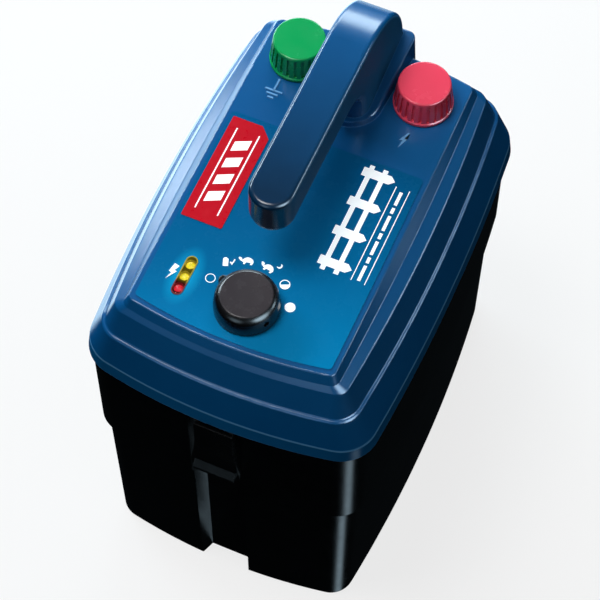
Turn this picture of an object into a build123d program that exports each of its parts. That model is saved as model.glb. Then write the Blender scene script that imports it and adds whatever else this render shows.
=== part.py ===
from build123d import *
import math
import os
from collections import namedtuple

# Battery fence energizer: a black battery box under a stepped blue lid. The lid carries the
# electronics, the selector, the two fence terminals and an open-fronted handle.
# Millimetres. +Z up, +X to the right, and the latch side faces -Y.
# The origin is the centre of the base's underside.

os.makedirs("parts", exist_ok=True)

# ------------------------------------------------------------------ driving sizes
DECK_Z = 226.5  # height of the flat control deck
STEP_Z = 109.5  # height of the ledge between the upper band and the lower walls
RIM_Z = DECK_Z - 50.3  # underside of the lid's rim
SHOULDER_Z = RIM_Z - 0.5  # top of the base's outer wall
LIP_TOP = SHOULDER_Z + 5.8  # top of the base's inner lip
LAND_Z = LIP_TOP + 2.5  # underside of the lid's seal land
LAND_THICK = 2.5
BASE_WALL = 2.6
FLOOR_THICK = 3.0
LID_WALL = 2.8
SKIN_DROP = 2.6  # thickness of the lid's level surfaces
DECK_UNDER = DECK_Z - SKIN_DROP

Outline = namedtuple("Outline", "z half_x half_y end_bow side_bow corner")

LID_TIERS = [
    Outline(RIM_Z, 75.2, 103.0, 9.3, 4.9, 20.0),  # foot of the rim
    Outline(DECK_Z - 42.5, 74.2, 102.3, 8.8, 5.2, 19.0),  # top of the rim
    Outline(DECK_Z - 23.4, 66.4, 98.8, 6.6, 5.8, 14.0),  # outer edge of the ridge
    Outline(DECK_Z - 22.9, 65.0, 97.4, 6.6, 5.9, 12.5),  # foot of the tall wall
    Outline(DECK_Z - 8.4, 60.1, 92.3, 6.0, 4.6, 7.0),  # outer edge of the shelf
    Outline(DECK_Z - 5.3, 55.6, 90.7, 5.7, 2.6, 4.5),  # foot of the deck's wall
    Outline(DECK_Z, 53.2, 88.5, 5.2, 0.5, 3.5),  # control deck
]
TIER_FILLETS = [(1, 1.5), (2, 1.6), (3, 1.0), (4, 1.6), (5, 0.6), (6, 0.8)]

BAND = Outline(STEP_Z, 71.4, 103.2, 7.4, 7.0, 15.0)
BASE_TIERS = [
    Outline(0.0, 67.0, 101.6, 7.0, 6.6, 13.0),
    Outline(STEP_Z - 1.2, 68.2, 102.0, 7.2, 6.8, 13.5),
    BAND,
    BAND._replace(z=SHOULDER_Z),
]
LIP_INSET = 2.4
LAND_INSET = 7.2  # inner edge of the seal land, from the base's outer face

# the recessed channel down the front wall, which holds the latch
CHANNEL_BACK = 101.0
CHANNEL_HALF = 11.0
CHANNEL_FLARE = 0.375  # extra half width for each millimetre forwards
CHANNEL_FRONT = 118.0

# latch
LATCH_Y = -106.4
LATCH_Z = 169.5
LATCH_PIN_R = 1.5
LUG_R = 3.2
BEAD_Z = 145.0

# rear hinge
HINGE_Y = 115.5
HINGE_Z = 171.0
HINGE_X = (-20.0, 20.0)
HINGE_R = 3.6
HINGE_PIN_R = 2.0
KNUCKLE_WIDTH = 12.0
EAR_WIDTH = 5.0
EAR_GAP = 0.4
RUNNING = 0.08  # radial clearance of a turning fit

# handle
HANDLE_HALF = 11.3
HANDLE_TOP = DECK_Z + 57.0
HANDLE_UNDER = DECK_Z + 31.0
HANDLE_NOSE = -48.6
LEG_FRONT = 45.0
LEG_BACK = 98.0
BEND_R = 46.0
CROOK_R = 20.0  # inside curve between the grip and the leg
GRIP_ROUND = 8.5  # rounding along the underside of the grip and the front of the leg
HANDLE_SCREW_Y = (62.0, 84.0)

# controls
SELECTOR_X = 1.1
SELECTOR_Y = -71.1
POINTER_ANGLE = 160.0
TERMINAL_X = 33.5
TERMINAL_Y = 70.0
STUD_R = 4.0
KNOB_GROOVES = 24
WINDOW_X = -33.2
WINDOW_Y = -67.2
WINDOW_LENGTH = 22.4
WINDOW_WIDTH = 5.9
LED_PITCH = 6.8

# printed overlay
LABEL_THICK = 0.4
LABEL_BACK = 28.0
LABEL_TOP = DECK_Z + LABEL_THICK

# electronics
BOARD_TOP = DECK_Z - 16.5
BOARD_THICK = 1.6
BOARD_UNDER = BOARD_TOP - BOARD_THICK
BOARD_X = 80.0
BOARD_Y = 156.0
BOARD_HOLES = [(-36.0, -30.0), (36.0, -30.0), (-36.0, 30.0), (36.0, 30.0)]
COVER_HOLES = [(x, y) for x in (-46.0, 46.0) for y in (-76.0, 0.0, 76.0)]
COVER_TOP = LAND_Z + 2.4

# battery
PAD_THICK = 2.0
BATTERY_X = 125.0
BATTERY_Y = 188.0
BATTERY_BODY = 152.0
BATTERY_LID = 8.0
BATTERY_BOTTOM = FLOOR_THICK + PAD_THICK
BATTERY_TOP = BATTERY_BOTTOM + BATTERY_BODY + BATTERY_LID
POST_X = 24.0
POST_Y = 58.0
CONTACT_X = 10.0
CONTACT_Y = 97.0


# ------------------------------------------------------------------ shared shapes
def bowed(outline):
    """A rectangle whose four sides bow outwards, with rounded corners."""
    hx, hy = outline.half_x, outline.half_y
    with BuildSketch() as face:
        with BuildLine():
            ThreePointArc((-hx, -hy), (0, -hy - outline.end_bow), (hx, -hy))
            ThreePointArc((hx, -hy), (hx + outline.side_bow, 0), (hx, hy))
            ThreePointArc((hx, hy), (0, hy + outline.end_bow), (-hx, hy))
            ThreePointArc((-hx, hy), (-hx - outline.side_bow, 0), (-hx, -hy))
        make_face()
        fillet(face.vertices(), outline.corner)
    return face.sketch


def inset(outline, gap, drop=0.0):
    """The same outline, smaller by gap on every side and lower by drop."""
    return outline._replace(
        z=outline.z - drop,
        half_x=outline.half_x - gap,
        half_y=outline.half_y - gap,
        corner=max(outline.corner - gap, 0.8),
    )


def channel(grow=0.0):
    """Plan of the front channel, wider and deeper by grow."""
    back = CHANNEL_HALF + grow
    front = back + (CHANNEL_FRONT - CHANNEL_BACK) * CHANNEL_FLARE
    with BuildSketch() as face:
        with BuildLine():
            Polyline(
                (-back, -CHANNEL_BACK + grow),
                (back, -CHANNEL_BACK + grow),
                (front, -CHANNEL_FRONT),
                (-front, -CHANNEL_FRONT),
                close=True,
            )
        make_face()
    return face.sketch


def tier_stack(tiers):
    """A solid through a list of outlines, straight from each to the next."""
    faces = [bowed(tier) for tier in tiers]
    with BuildPart() as stack:
        for lower, upper, low_face, high_face in zip(tiers, tiers[1:], faces, faces[1:]):
            with BuildSketch(Plane.XY.offset(lower.z)):
                add(low_face)
            with BuildSketch(Plane.XY.offset(upper.z)):
                add(high_face)
            loft(ruled=True)
    return stack.part


def level_edges(part, z):
    """The edges that lie at one height."""
    return part.edges().filter_by_position(Axis.Z, z - 0.01, z + 0.01)


def save(builder, name):
    """Label a finished piece and write it as its own file."""
    builder.part.label = name
    export_step(builder.part, f"parts/{name}.step")


def tube(points, radii, radius):
    """A round lead along straight runs joined by tangent arcs."""
    with BuildPart() as lead:
        with BuildLine() as path:
            FilletPolyline(*points, radius=radii)
        with BuildSketch(Plane(origin=path.line @ 0, z_dir=path.line % 0)):
            Circle(radius)
        sweep()
    length = path.wires()[0].length
    print(f"lead: {length:.1f} mm long, bend radii {radii}")
    print(f"volume {lead.part.volume:.1f} of {math.pi * radius**2 * length:.1f} mm3")
    return lead


# ------------------------------------------------------------------ battery box
space_tiers = [
    inset(BASE_TIERS[0], BASE_WALL)._replace(z=FLOOR_THICK),
    inset(BASE_TIERS[1], BASE_WALL),
    inset(BAND, BASE_WALL)._replace(z=STEP_Z + 0.6),
    inset(BAND, BASE_WALL)._replace(z=SHOULDER_Z - 3.0),
    inset(BAND, LIP_INSET + BASE_WALL)._replace(z=SHOULDER_Z),
    inset(BAND, LIP_INSET + BASE_WALL)._replace(z=LIP_TOP + 1.0),
]
base_outer = tier_stack(BASE_TIERS)
lip_face = bowed(inset(BAND, LIP_INSET))
channel_face = channel()
channel_wall_face = channel(BASE_WALL)
with BuildPart() as battery_space:
    add(tier_stack(space_tiers))
    with BuildSketch(Plane.XY):
        add(channel_wall_face)
    extrude(amount=LIP_TOP + 5.0, mode=Mode.SUBTRACT)

with BuildPart() as base_shell:
    add(base_outer)
    fillet(level_edges(base_shell, 0.0), 1.6)
    fillet(level_edges(base_shell, STEP_Z), 0.8)
    with BuildSketch(Plane.XY.offset(SHOULDER_Z - 0.5)):
        add(lip_face)
    extrude(amount=LIP_TOP - SHOULDER_Z + 0.5)
    add(battery_space.part, mode=Mode.SUBTRACT)
    with BuildSketch(Plane.XY.offset(-1.0)):
        add(channel_face)
    extrude(amount=LIP_TOP + 6.0, mode=Mode.SUBTRACT)
    # the snap bead that the latch's nose sits under
    with BuildSketch(Plane.YZ):
        with Locations((-CHANNEL_BACK, BEAD_Z)):
            Circle(1.05)
    extrude(amount=7.0, both=True)
    # hinge ears on the rear wall
    for hinge_x in HINGE_X:
        ear_start = hinge_x - KNUCKLE_WIDTH / 2 - EAR_GAP - EAR_WIDTH
        for start in (ear_start, ear_start + KNUCKLE_WIDTH + EAR_WIDTH + 2 * EAR_GAP):
            with BuildSketch(Plane.YZ.offset(start)):
                with Locations((HINGE_Y, HINGE_Z)):
                    Circle(HINGE_R)
                with BuildLine():
                    Polyline(
                        (HINGE_Y - 13.0, HINGE_Z + 2.0),
                        (HINGE_Y, HINGE_Z + 2.0),
                        (HINGE_Y + HINGE_R * 0.9, HINGE_Z - 1.8),
                        (HINGE_Y - 8.5, HINGE_Z - 16.0),
                        (HINGE_Y - 13.0, HINGE_Z - 16.0),
                        close=True,
                    )
                make_face()
                with Locations((HINGE_Y, HINGE_Z)):
                    Circle(HINGE_PIN_R + 0.02, mode=Mode.SUBTRACT)
            extrude(amount=EAR_WIDTH)
    # the ears stop at the inner face of the rear wall
    add(battery_space.part, mode=Mode.SUBTRACT)
    # shelf inside the rear wall for the contact block
    with BuildSketch(Plane.XY.offset(SHOULDER_Z - 11.0)):
        with Locations((0, CONTACT_Y + 4.75)):
            Rectangle(38.0, 13.5)
    extrude(amount=3.0)
save(base_shell, "base_shell")

with BuildPart() as hinge_pins:
    pin_length = KNUCKLE_WIDTH + 2 * (EAR_WIDTH + EAR_GAP)
    with BuildSketch(Plane.YZ.offset(HINGE_X[0] - pin_length / 2)):
        with Locations((HINGE_Y, HINGE_Z)):
            Circle(HINGE_PIN_R)
    extrude(amount=pin_length)
    chamfer(hinge_pins.edges().filter_by(GeomType.CIRCLE), 0.3)
    mirror(about=Plane.YZ)
save(hinge_pins, "hinge_pins")

# ------------------------------------------------------------------ battery
with BuildPart() as battery_pad:
    with BuildSketch(Plane.XY.offset(FLOOR_THICK)):
        RectangleRounded(BATTERY_X - 10.0, BATTERY_Y - 10.0, 8.0)
    extrude(amount=PAD_THICK)
save(battery_pad, "battery_pad")

with BuildPart() as battery_case:
    with BuildSketch(Plane.XY.offset(BATTERY_BOTTOM)):
        RectangleRounded(BATTERY_X, BATTERY_Y, 7.0)
    extrude(amount=BATTERY_BODY)
    fillet(level_edges(battery_case, BATTERY_BOTTOM), 1.5)
    for side in (-1, 1):
        with BuildSketch(Plane.YZ.offset(side * BATTERY_X / 2)):
            with Locations((0, BATTERY_BOTTOM + BATTERY_BODY / 2)):
                RectangleRounded(BATTERY_Y - 40.0, BATTERY_BODY - 50.0, 6.0)
        extrude(amount=0.6, both=True, mode=Mode.SUBTRACT)
save(battery_case, "battery_case")

with BuildPart() as battery_cover:
    with BuildSketch(Plane.XY.offset(BATTERY_TOP - BATTERY_LID)):
        RectangleRounded(BATTERY_X, BATTERY_Y, 7.0)
    extrude(amount=BATTERY_LID)
    fillet(level_edges(battery_cover, BATTERY_TOP), 2.0)
    with Locations((0, 0, BATTERY_TOP)):
        with GridLocations(30.0, 44.0, 3, 2):
            Hole(5.0, depth=1.2)
save(battery_cover, "battery_cover")

with BuildPart() as battery_posts:
    with BuildSketch(Plane.XY.offset(BATTERY_TOP)):
        with Locations((-POST_X, POST_Y), (POST_X, POST_Y)):
            Circle(4.0)
    extrude(amount=3.4)
    chamfer(battery_posts.faces().filter_by(Axis.Z).sort_by(Axis.Z)[-2:].edges(), 0.6)
save(battery_posts, "battery_posts")

BLOCK_BOTTOM = SHOULDER_Z - 8.0
BLOCK_TOP = SHOULDER_Z + 1.4
with BuildPart() as contact_block:
    with BuildSketch(Plane.XY.offset(BLOCK_BOTTOM)):
        with Locations((0, CONTACT_Y)):
            RectangleRounded(36.0, 11.0, 1.5)
    extrude(amount=BLOCK_TOP - BLOCK_BOTTOM)
    fillet(level_edges(contact_block, BLOCK_TOP), 0.8)
    with BuildSketch(Plane.XY.offset(BLOCK_TOP)):
        with Locations((-CONTACT_X, CONTACT_Y), (CONTACT_X, CONTACT_Y)):
            Rectangle(9.0, 7.0)
    extrude(amount=-1.0, mode=Mode.SUBTRACT)
save(contact_block, "battery_contact_block")

with BuildPart() as contact_plates:
    with BuildSketch(Plane.XY.offset(BLOCK_TOP - 1.0)):
        with Locations((-CONTACT_X, CONTACT_Y), (CONTACT_X, CONTACT_Y)):
            Rectangle(8.8, 6.8)
    extrude(amount=1.2)
    fillet(level_edges(contact_plates, BLOCK_TOP + 0.2), 0.3)
save(contact_plates, "battery_contact_plates")

BATTERY_LEAD_R = 1.4
LEAD_Z = BATTERY_TOP + 1.9
for side, pole in ((-1, "negative"), (1, "positive")):
    lead_points = [
        (side * POST_X, POST_Y + 4.05, LEAD_Z),
        (side * POST_X, POST_Y + 14.0, LEAD_Z),
        (side * (CONTACT_X + 4.0), CONTACT_Y - 15.0, LEAD_Z + 2.6),
        (side * (CONTACT_X + 4.0), CONTACT_Y - 5.5, LEAD_Z + 2.6),
    ]
    battery_lead = tube(lead_points, [9.0, 9.0], BATTERY_LEAD_R)
    save(battery_lead, f"battery_lead_{pole}")

# ------------------------------------------------------------------ lid
lid_outer = tier_stack(LID_TIERS)
rim_foot, rim_top = LID_TIERS[0], LID_TIERS[1]
skirt_pocket = tier_stack(
    [
        inset(rim_foot, BASE_WALL)._replace(z=RIM_Z - 1.0),
        inset(rim_top, BASE_WALL)._replace(z=LAND_Z),
    ]
)
upper_space = tier_stack(
    [inset(rim_top, 3.8)._replace(z=LAND_Z + LAND_THICK)]
    + [inset(tier, LID_WALL, SKIN_DROP) for tier in LID_TIERS[2:]]
)
cover_opening_face = bowed(inset(BAND, LAND_INSET))
cover_notch_face = channel(LAND_INSET - 1.8)
gasket_outer_face = bowed(inset(BAND, LIP_INSET + 0.8))
gasket_inner_face = bowed(inset(BAND, LIP_INSET + BASE_WALL + 0.2))
gasket_notch_outer = channel(BASE_WALL + 0.2)
gasket_notch_inner = channel(0.8)

COLLAR_FRONT = 42.0
COLLAR_R = 15.5
COLLAR_BACK_HALF = 18.2
COLLAR_BACK = 99.0
COLLAR_LOW = DECK_Z + 4.0
COLLAR_HIGH = DECK_Z + 14.5
LEG_FIT = 0.15
LEG_BACK_ROUND = 2.6
EARTH_MARK_X = -37.4


def leg_plan(grow=0.0):
    """Section of the handle's leg: a round-cornered rectangle, larger by grow."""
    with BuildSketch() as face:
        with Locations((0, (LEG_FRONT + LEG_BACK) / 2)):
            Rectangle(2 * (HANDLE_HALF + grow), LEG_BACK - LEG_FRONT + 2 * grow)
        fillet(face.vertices().group_by(Axis.Y)[0], GRIP_ROUND + grow)
        fillet(face.vertices().group_by(Axis.Y)[-1], LEG_BACK_ROUND + grow)
    return face.sketch


leg_socket_face = leg_plan(LEG_FIT)

with BuildPart() as collar:
    # plan at the collar's highest point, drafted outwards below
    with BuildSketch(Plane.XY.offset(COLLAR_HIGH + 2.0)) as collar_plan:
        with BuildLine():
            nose = CenterArc((0, COLLAR_FRONT + COLLAR_R), COLLAR_R, 180, 180)
            Line(nose @ 1, (COLLAR_BACK_HALF, COLLAR_BACK))
            Line((COLLAR_BACK_HALF, COLLAR_BACK), (-COLLAR_BACK_HALF, COLLAR_BACK))
            Line((-COLLAR_BACK_HALF, COLLAR_BACK), nose @ 0)
        make_face()
        fillet(collar_plan.vertices().group_by(Axis.Y)[-1], 4.0)
    extrude(amount=-(COLLAR_HIGH + 2.0 - (DECK_Z - 16.0)), taper=-3.0)
    # the top slopes up towards the back
    with BuildSketch(Plane.YZ):
        with BuildLine():
            Polyline(
                (COLLAR_FRONT - 6.0, COLLAR_LOW),
                (COLLAR_FRONT + 6.0, COLLAR_LOW),
                (COLLAR_BACK + 4.0, COLLAR_HIGH),
                (COLLAR_BACK + 4.0, COLLAR_HIGH + 20.0),
                (COLLAR_FRONT - 6.0, COLLAR_HIGH + 20.0),
                close=True,
            )
        make_face()
    extrude(amount=40.0, both=True, mode=Mode.SUBTRACT)
    collar_top_faces = collar.faces().filter_by(lambda f: f.normal_at().Z > 0.9)
    fillet(collar_top_faces.edges().filter_by(lambda e: abs(e.center().X) > 1.0), 1.2)

with BuildPart() as lid_shell:
    add(lid_outer)
    for tier_index, fillet_radius in TIER_FILLETS:
        fillet(level_edges(lid_shell, LID_TIERS[tier_index].z), fillet_radius)
    add(collar.part)
    add(skirt_pocket, mode=Mode.SUBTRACT)
    with BuildSketch(Plane.XY.offset(LAND_Z - 1.0)) as cover_opening:
        add(cover_opening_face)
        add(cover_notch_face, mode=Mode.SUBTRACT)
    extrude(amount=LAND_THICK + 2.0, mode=Mode.SUBTRACT)
    add(upper_space, mode=Mode.SUBTRACT)
    # pillars for the inner cover and for the circuit board
    with BuildSketch(Plane.XY.offset(COVER_TOP)):
        with Locations(*COVER_HOLES):
            Circle(4.0)
    extrude(amount=DECK_UNDER + 0.6 - COVER_TOP)
    with BuildSketch(Plane.XY.offset(BOARD_TOP)):
        with Locations(*BOARD_HOLES):
            Circle(3.4)
    extrude(amount=DECK_UNDER + 0.6 - BOARD_TOP)
    # screw holes up those pillars
    with Locations(*[(x, y, COVER_TOP) for x, y in COVER_HOLES]):
        Cylinder(1.55, 16.0, align=(Align.CENTER, Align.CENTER, Align.MIN), mode=Mode.SUBTRACT)
    with Locations(*[(x, y, BOARD_TOP) for x, y in BOARD_HOLES]):
        Cylinder(1.55, 9.0, align=(Align.CENTER, Align.CENTER, Align.MIN), mode=Mode.SUBTRACT)
    # socket for the handle's leg, and its two screw holes
    with BuildSketch(Plane.XY.offset(DECK_Z)):
        add(leg_socket_face)
    extrude(amount=40.0, mode=Mode.SUBTRACT)
    with Locations(*[(0, y, DECK_Z + 1.0) for y in HANDLE_SCREW_Y]):
        Cylinder(2.3, 20.0, align=(Align.CENTER, Align.CENTER, Align.MAX), mode=Mode.SUBTRACT)
    # holes for the selector, the terminal studs and the indicator window
    with Locations((SELECTOR_X, SELECTOR_Y, DECK_Z + 1.0)):
        Cylinder(4.7, 10.0, align=(Align.CENTER, Align.CENTER, Align.MAX), mode=Mode.SUBTRACT)
    with Locations((-TERMINAL_X, TERMINAL_Y, DECK_Z), (TERMINAL_X, TERMINAL_Y, DECK_Z)):
        Cylinder(STUD_R + 0.1, 12.0, mode=Mode.SUBTRACT)
    with BuildSketch(Plane.XY.offset(DECK_Z + 1.0)):
        with Locations((WINDOW_X, WINDOW_Y)):
            SlotOverall(WINDOW_LENGTH + 0.2, WINDOW_WIDTH + 0.2, rotation=90)
    extrude(amount=-10.0, mode=Mode.SUBTRACT)
    # hinge knuckles behind the rim
    for hinge_x in HINGE_X:
        with BuildSketch(Plane.YZ.offset(hinge_x - KNUCKLE_WIDTH / 2)):
            with Locations((HINGE_Y, HINGE_Z)):
                Circle(HINGE_R)
            with BuildLine():
                Polyline(
                    (HINGE_Y - HINGE_R, HINGE_Z),
                    (HINGE_Y + HINGE_R, HINGE_Z),
                    (HINGE_Y + HINGE_R, HINGE_Z + 1.5),
                    (HINGE_Y - 4.5, LAND_Z - 0.5),
                    (HINGE_Y - 6.8, LAND_Z - 0.5),
                    (HINGE_Y - 6.2, RIM_Z + 0.5),
                    (HINGE_Y - 4.2, RIM_Z + 0.1),
                    close=True,
                )
            make_face()
            with Locations((HINGE_Y, HINGE_Z)):
                Circle(HINGE_PIN_R + RUNNING, mode=Mode.SUBTRACT)
        extrude(amount=KNUCKLE_WIDTH)
    # lugs for the latch, hanging in the top of the front channel
    for lug_start in (-7.8, 5.2):
        with BuildSketch(Plane.YZ.offset(lug_start)):
            with Locations((LATCH_Y, LATCH_Z)):
                Circle(LUG_R)
            with BuildLine():
                Polyline(
                    (LATCH_Y + 0.6, LATCH_Z + 2.0),
                    (LATCH_Y + 2.0, LATCH_Z - 2.4),
                    (LATCH_Y + 4.0, LATCH_Z),
                    (LATCH_Y + 4.0, LAND_Z + 1.0),
                    (LATCH_Y + 0.6, LAND_Z + 1.0),
                    close=True,
                )
            make_face()
            with Locations((LATCH_Y, LATCH_Z)):
                Circle(LATCH_PIN_R + 0.02, mode=Mode.SUBTRACT)
        extrude(amount=2.6)
    # raised earth and pulse symbols in front of the terminals
    with BuildSketch(Plane.XY.offset(DECK_Z - 0.2)):
        with Locations((EARTH_MARK_X, 50.6)):
            Rectangle(0.9, 7.4)
        for bar_y, bar_length in ((47.0, 9.0), (44.8, 6.0), (42.6, 3.0)):
            with Locations((EARTH_MARK_X, bar_y)):
                Rectangle(bar_length, 0.9)
        with BuildLine():
            Polyline((33.6, 50.3), (31.0, 44.7), (32.6, 44.9), (32.1, 40.3), (34.6, 46.3),
                     (33.0, 46.1), (34.7, 50.3), close=True)
        make_face()
    extrude(amount=0.6)
save(lid_shell, "lid_shell")

with BuildPart() as lid_gasket:
    with BuildSketch(Plane.XY.offset(LIP_TOP + 0.2)) as gasket_ring:
        add(gasket_outer_face)
        add(gasket_notch_inner, mode=Mode.SUBTRACT)
        with BuildSketch(mode=Mode.PRIVATE) as gasket_hole:
            add(gasket_inner_face)
            add(gasket_notch_outer, mode=Mode.SUBTRACT)
        add(gasket_hole.sketch, mode=Mode.SUBTRACT)
    extrude(amount=LAND_Z - LIP_TOP - 0.2)
save(lid_gasket, "lid_gasket")

cover_face = bowed(inset(BAND, LAND_INSET + 0.4))
cover_notch = channel(LAND_INSET - 1.4)
with BuildPart() as inner_cover:
    with BuildSketch(Plane.XY.offset(LAND_Z)):
        add(cover_face)
        add(cover_notch, mode=Mode.SUBTRACT)
        with Locations(*COVER_HOLES):
            Circle(1.75, mode=Mode.SUBTRACT)
        with Locations((-CONTACT_X, CONTACT_Y), (CONTACT_X, CONTACT_Y)):
            Circle(1.6, mode=Mode.SUBTRACT)
    extrude(amount=COVER_TOP - LAND_Z)
    # stiffening ribs across the underside
    with BuildSketch(Plane.XY.offset(LAND_Z)):
        with GridLocations(0, 36.0, 1, 4):
            Rectangle(84.0, 1.6)
    extrude(amount=-2.0)
save(inner_cover, "inner_cover")


def pan_screws(places, seat_z, head_r, head_height, shank_r, length):
    """Pan-head screws, driven upwards, with their heads under seat_z."""
    with BuildPart() as screws:
        with Locations(*[(x, y, seat_z) for x, y in places]):
            Cylinder(head_r, head_height, align=(Align.CENTER, Align.CENTER, Align.MAX))
            Cylinder(shank_r, length, align=(Align.CENTER, Align.CENTER, Align.MIN))
        head_z = seat_z - head_height
        fillet(level_edges(screws, head_z), head_height * 0.4)
        with Locations(*[(x, y, head_z) for x, y in places]):
            Box(head_r * 1.1, 0.7, 1.4, mode=Mode.SUBTRACT)
            Box(0.7, head_r * 1.1, 1.4, mode=Mode.SUBTRACT)
    return screws


save(pan_screws(COVER_HOLES, LAND_Z, 3.0, 2.0, 1.5, 14.0), "cover_screws")
save(pan_screws(BOARD_HOLES, BOARD_UNDER, 2.8, 2.0, 1.5, 9.0), "board_screws")
handle_screw_places = [(0.0, y) for y in HANDLE_SCREW_Y]
save(pan_screws(handle_screw_places, DECK_UNDER, 3.8, 2.6, 2.0, 16.0), "handle_screws")

# ------------------------------------------------------------------ handle
bend_y = LEG_BACK - BEND_R
bend_z = HANDLE_TOP - BEND_R
diagonal = math.sqrt(0.5)
with BuildPart() as carry_handle:
    with BuildSketch(Plane.YZ.offset(-HANDLE_HALF)):
        with BuildLine():
            Polyline((LEG_BACK, bend_z), (LEG_BACK, DECK_Z), (LEG_FRONT, DECK_Z),
                     (LEG_FRONT, HANDLE_UNDER - CROOK_R))
            ThreePointArc(
                (LEG_FRONT, HANDLE_UNDER - CROOK_R),
                (LEG_FRONT - CROOK_R * (1 - diagonal), HANDLE_UNDER - CROOK_R * (1 - diagonal)),
                (LEG_FRONT - CROOK_R, HANDLE_UNDER),
            )
            Polyline((LEG_FRONT - CROOK_R, HANDLE_UNDER), (HANDLE_NOSE, HANDLE_UNDER),
                     (HANDLE_NOSE, HANDLE_TOP), (bend_y, HANDLE_TOP))
            ThreePointArc(
                (bend_y, HANDLE_TOP),
                (bend_y + BEND_R * diagonal, bend_z + BEND_R * diagonal),
                (LEG_BACK, bend_z),
            )
        make_face()
    extrude(amount=2 * HANDLE_HALF)
    # rounded nose in plan
    with BuildSketch(Plane.XY.offset(DECK_Z)):
        with Locations((0, HANDLE_NOSE + HANDLE_HALF)):
            Circle(HANDLE_HALF)
            Rectangle(2 * HANDLE_HALF, 200.0, align=(Align.CENTER, Align.MIN))
    extrude(amount=HANDLE_TOP - DECK_Z, mode=Mode.INTERSECT)
    side_edges = carry_handle.edges().filter_by(lambda e: abs(e.center().X) > 5.0)
    grip_edges = side_edges.filter_by(
        lambda e: (e.center().Z < HANDLE_UNDER + 0.1 and e.center().Y < LEG_FRONT + 0.1)
        and e.center().Z > DECK_Z + 1.0
    )
    nose_edges = carry_handle.edges().filter_by(
        lambda e: e.center().Y < HANDLE_NOSE + HANDLE_HALF
        and abs(e.center().Z - HANDLE_UNDER) < 0.1
    )
    fillet(grip_edges + nose_edges, GRIP_ROUND)
    back_edges = carry_handle.edges().filter_by(
        lambda e: abs(e.center().X) > HANDLE_HALF - 0.1
        and e.center().Y > LEG_BACK - 0.1
        and e.center().Z < bend_z
    )
    bend_edges = carry_handle.edges().filter_by(
        lambda e: e.center().Z > bend_z + 5.0
        and (abs(e.center().Z - HANDLE_TOP) < 0.1 or e.center().Y > bend_y + 5.0)
        and (abs(e.center().X) > 5.0 or e.center().Y < 0.0)
    )
    fillet(back_edges + bend_edges, LEG_BACK_ROUND)
    with Locations(*[(0, y, DECK_Z) for y in HANDLE_SCREW_Y]):
        Cylinder(2.05, 30.0, mode=Mode.SUBTRACT)
save(carry_handle, "carry_handle")

# ------------------------------------------------------------------ electronics
with BuildPart() as circuit_board:
    with BuildSketch(Plane.XY.offset(BOARD_UNDER)):
        RectangleRounded(BOARD_X, BOARD_Y, 3.0)
        with Locations(*BOARD_HOLES):
            Circle(1.6, mode=Mode.SUBTRACT)
    extrude(amount=BOARD_THICK)
save(circuit_board, "circuit_board")


def transformer_core(x, y, z, width, length, height, leg):
    """Flat E-core with two windows beside a centre leg."""
    window = width / 2 - leg
    with BuildPart() as core:
        with Locations((x, y, z)):
            Box(width, length, height)
            with Locations((-(leg + window) / 2, 0, 0), ((leg + window) / 2, 0, 0)):
                Box(window, length - leg, height + 1.0, mode=Mode.SUBTRACT)
        fillet(core.edges().filter_by(Axis.Z).group_by(Axis.X)[0], 0.8)
        fillet(core.edges().filter_by(Axis.Z).group_by(Axis.X)[-1], 0.8)
    return core


def transformer_winding(x, y, z, width, length, height, leg, core_height):
    """Rectangular coil around the core's centre leg."""
    with BuildPart() as winding:
        with Locations((x, y, z)):
            Box(width, length, height)
        fillet(winding.edges().filter_by(Axis.Y), 2.0)
        with Locations((x, y, z)):
            Box(leg + 0.1, length + 1.0, core_height + 0.1, mode=Mode.SUBTRACT)
    return winding


save(transformer_core(18.0, 18.0, BOARD_UNDER - 9.8, 40.0, 34.0, 12.0, 12.0),
     "pulse_transformer_core")
save(transformer_winding(18.0, 18.0, BOARD_UNDER - 9.8, 27.4, 21.6, 19.6, 12.0, 12.0),
     "pulse_transformer_winding")
save(transformer_core(22.0, -18.0, BOARD_UNDER - 7.0, 20.0, 17.0, 6.0, 6.0),
     "inverter_transformer_core")
save(transformer_winding(22.0, -18.0, BOARD_UNDER - 7.0, 13.6, 10.6, 14.0, 6.0, 6.0),
     "inverter_transformer_winding")

with BuildPart() as storage_capacitor:
    with Locations(Location((-22.0, 10.0, BOARD_UNDER - 9.0), (90, 0, 0))):
        Cylinder(9.0, 42.0)
    fillet(storage_capacitor.edges().filter_by(GeomType.CIRCLE), 1.2)
    for pin_y in (-8.0, 28.0):
        with Locations((-22.0, pin_y, BOARD_UNDER)):
            Cylinder(0.4, 3.0, align=(Align.CENTER, Align.CENTER, Align.MAX))
save(storage_capacitor, "storage_capacitor")

with BuildPart() as electrolytic_capacitors:
    with Locations((-22.0, -36.0, BOARD_UNDER), (-9.0, -36.0, BOARD_UNDER)):
        Cylinder(5.0, 16.0, align=(Align.CENTER, Align.CENTER, Align.MAX))
    fillet(level_edges(electrolytic_capacitors, BOARD_UNDER - 16.0), 0.7)
save(electrolytic_capacitors, "electrolytic_capacitors")

HEATSINK_Y = -52.0
with BuildPart() as heatsink:
    with BuildSketch(Plane.XY.offset(BOARD_UNDER)):
        with Locations((-14.0, HEATSINK_Y)):
            Rectangle(26.0, 2.0, align=(Align.CENTER, Align.MAX))
        with Locations((-14.0, HEATSINK_Y - 1.9)):
            with GridLocations(6.0, 0, 5, 1):
                Rectangle(1.4, 8.0, align=(Align.CENTER, Align.MAX))
    extrude(amount=-18.0)
save(heatsink, "heatsink")

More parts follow.
